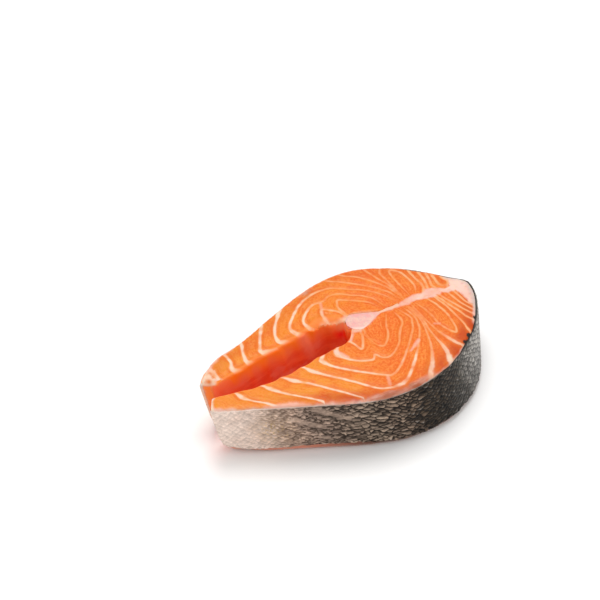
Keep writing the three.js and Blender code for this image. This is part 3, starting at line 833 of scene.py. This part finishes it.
# The lower part of the skin is painted darker, as painted shade, from the flank to the back
keep_value(skin, "to_back", to_back)
painted_low_shade = 1 - 0.42 * (1 - ease(level, 5, 22)) * ease(to_back, 0.42, 0.52)
keep_value(skin, "shade", shade * painted_low_shade)
shade_and_mark_depth = np.interp(to_back, [0, 0.1, 0.2, 0.6, 0.8, 1], [0.4, 0.6, 1.0, 1.0, 0.8, 0.8])
# The mask mixes in painted shade in the gaps and the skin's own dark dashes and dots
keep_value(skin, "shade_and_dark_marks", shade_and_dark_marks * shade_and_mark_depth)
keep_value(skin, "cut_edge", np.maximum(ease(level, 27.3, 27.5), 1 - outer))
far_dark = np.maximum(ease(along, 64, 66.5), 0.9 * ease(along, 51, 54) * (1 - ease(along, 58, 61)))
keep_value(skin, "dark_edge", np.where(near_side, ease(along + 3 * uneven, 17, 27), far_dark))
keep_value(skin, "pale_edge", np.where(near_side, 1.0, ease(-along, 40, 52)))
keep_value(skin, "dull_edge", near_side * ease(along + 4 * uneven, -34, -14))
keep_value(skin, "far_tip", 0.85 * ~near_side * ease(-along, 60, 69))
# Painted highlights: small glints on the lower lips of some scales on the flank
glint = ease(scale_drop + 0.3 * (scale_tone - 0.5), 0.16, 0.34)
glint *= ease(chance(own_row, np.floor(column), 8), 0.5, 0.7)
keep_value(skin, "glint", glint * ease(to_back, 0.36, 0.48) * (1 - shade_and_dark_marks))
keep_value(skin, "tan", np.exp(-((length - 26) / 7) ** 2 - ((level - 15) / 6) ** 2) * near_side)

skin_look, skin_shader = new_look("scaly_skin")
shading = skin_look.node_tree


def colour_steps(share, stops):
    node = add_node("ShaderNodeValToRGB", {"Fac": share})
    while len(node.color_ramp.elements) < len(stops):
        node.color_ramp.elements.new(0.5)
    for element, (position, colour) in zip(node.color_ramp.elements, stops):
        element.position = position
        element.color = colour
    return node.outputs["Color"]


specks = speckle(900)
toned = sums("ADD", kept("to_back"), spread(speckle(160), 0.3, 0.7, -0.03, 0.03))
# The tone round the band, for the scales and for the dark between them; the last, lighter steps at the back
# of both are a painted sheen
skin_colour = colour_steps(toned, [
    (0.03, (0.82, 0.66, 0.57, 1)), (0.08, (0.76, 0.59, 0.50, 1)), (0.14, (0.63, 0.465, 0.37, 1)),
    (0.19, (0.42, 0.29, 0.22, 1)), (0.24, (0.32, 0.225, 0.175, 1)), (0.30, (0.275, 0.195, 0.148, 1)),
    (0.41, (0.285, 0.21, 0.155, 1)), (0.46, (0.25, 0.176, 0.128, 1)), (0.52, (0.14, 0.096, 0.067, 1)),
    (0.57, (0.057, 0.038, 0.023, 1)), (0.64, (0.055, 0.041, 0.030, 1)), (0.70, (0.074, 0.062, 0.049, 1)),
    (0.80, (0.38, 0.355, 0.325, 1))])
shade_and_mark_colour = colour_steps(toned, [
    (0.03, (0.62, 0.45, 0.36, 1)), (0.14, (0.28, 0.18, 0.125, 1)), (0.22, (0.07, 0.042, 0.028, 1)),
    (0.3, (0.024, 0.014, 0.009, 1)), (0.5, (0.010, 0.006, 0.004, 1)), (0.64, (0.012, 0.011, 0.010, 1)),
    (0.78, (0.07, 0.065, 0.058, 1))])
skin_colour = tinted(
    skin_colour,
    (product(kept("tan"), spread(specks, 0.45, 0.6)), (0.42, 0.27, 0.12, 1)),
    ("far_tip", (0.86, 0.50, 0.33, 1)))
speckled = product(kept("shade"), spread(specks, 0.25, 0.75, 0.84, 1.16))
cut_colour = tinted(
    colour_mix(kept("pale_edge"), (0.80, 0.23, 0.05, 1), (0.80, 0.64, 0.55, 1)),
    ("dull_edge", (0.60, 0.49, 0.43, 1)),
    ("dark_edge", (0.012, 0.011, 0.010, 1)))
skin_colour = tinted(
    colour_mix(1.0, skin_colour, speckled, "MULTIPLY"),
    (product(kept("glint"), 0.6), (0.30, 0.28, 0.26, 1)),
    ("shade_and_dark_marks", shade_and_mark_colour),
    ("cut_edge", cut_colour))
set_inputs(skin_shader, {
    "Base Color": skin_colour, "Roughness": spread(specks, 0.3, 0.7, 0.25, 0.45),
    "Specular IOR Level": 0.12, "Coat Weight": 0.02, "Coat Roughness": 0.2})
skin.data.materials.append(skin_look)
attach(skin, "root")
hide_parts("skin")

# The backbone is one joint of the spine, sawn through: a round of pinkish, slightly spongy bone
# with the flat blade of its back spine running from it into the fat of the middle.
bone = copy_of_node("backbone", "backbone_cut")
apply_modifier(bone, "REMESH", mode="VOXEL", voxel_size=0.0003)
apply_modifier(bone, "SMOOTH", factor=0.5, iterations=4)
bpy.ops.object.shade_smooth()
bone_points = points_of(bone)
bone_normals = normals_of(bone)
along, across = on_upper_face(bone_points)
pitted = noise_at(bone_points, 0.5, 5)
sponge = noise_at(bone_points, 1.3, 15)
upright = 1 - ease(np.abs(bone_normals[:, 2]), 0.3, 0.8)
cavity_side = upright * ease(-along, -10.5, -9)
bone_swell = (0.28 - 0.7 * cavity_side) * upright + (0.12 * pitted + 0.06 * sponge - 0.05) * (1 - upright)
move_points(bone, bone_points + bone_normals * bone_swell[:, None])
keep_value(bone, "blade", ease(along, 21, 26))
keep_value(bone, "cavity_side", cavity_side)
round_along = 13
round_across = 10.4
round_reach = 5.9
from_edge = round_reach - np.hypot(along - round_along, across - round_across)
keep_value(bone, "edge", ease(from_edge, 2.2, 0.2) * ease(-across, -9, -6) * ease(-along, -18, -12))

bone_look, bone_shader = new_look("sawn_bone")
shading = bone_look.node_tree
pores = speckle(900, 2)
bone_colour = tinted(
    colour_mix(spread(speckle(260), 0.38, 0.62), (0.77, 0.36, 0.33, 1), (0.77, 0.49, 0.40, 1)),
    (spread(pores, 0.45, 0.65, 0, 0.6), (0.66, 0.38, 0.36, 1)),
    ("edge", (0.82, 0.60, 0.52, 1)),
    ("blade", (0.79, 0.46, 0.32, 1)),
    # The side that looks into the cavity is pinkish, painted brighter as painted light where it lies in shade
    ("cavity_side", (1.0, 0.40, 0.28, 1)))
set_inputs(bone_shader, {
    "Base Color": bone_colour, "Roughness": spread(pores, 0.3, 0.7, 0.32, 0.5),
    "Subsurface Weight": 0.2, "Subsurface Radius": (1.0, 0.5, 0.4), "Subsurface Scale": 0.0012,
    "Specular IOR Level": 0.12})
bone.data.materials.append(bone_look)
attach(bone, "root")
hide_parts("backbone")
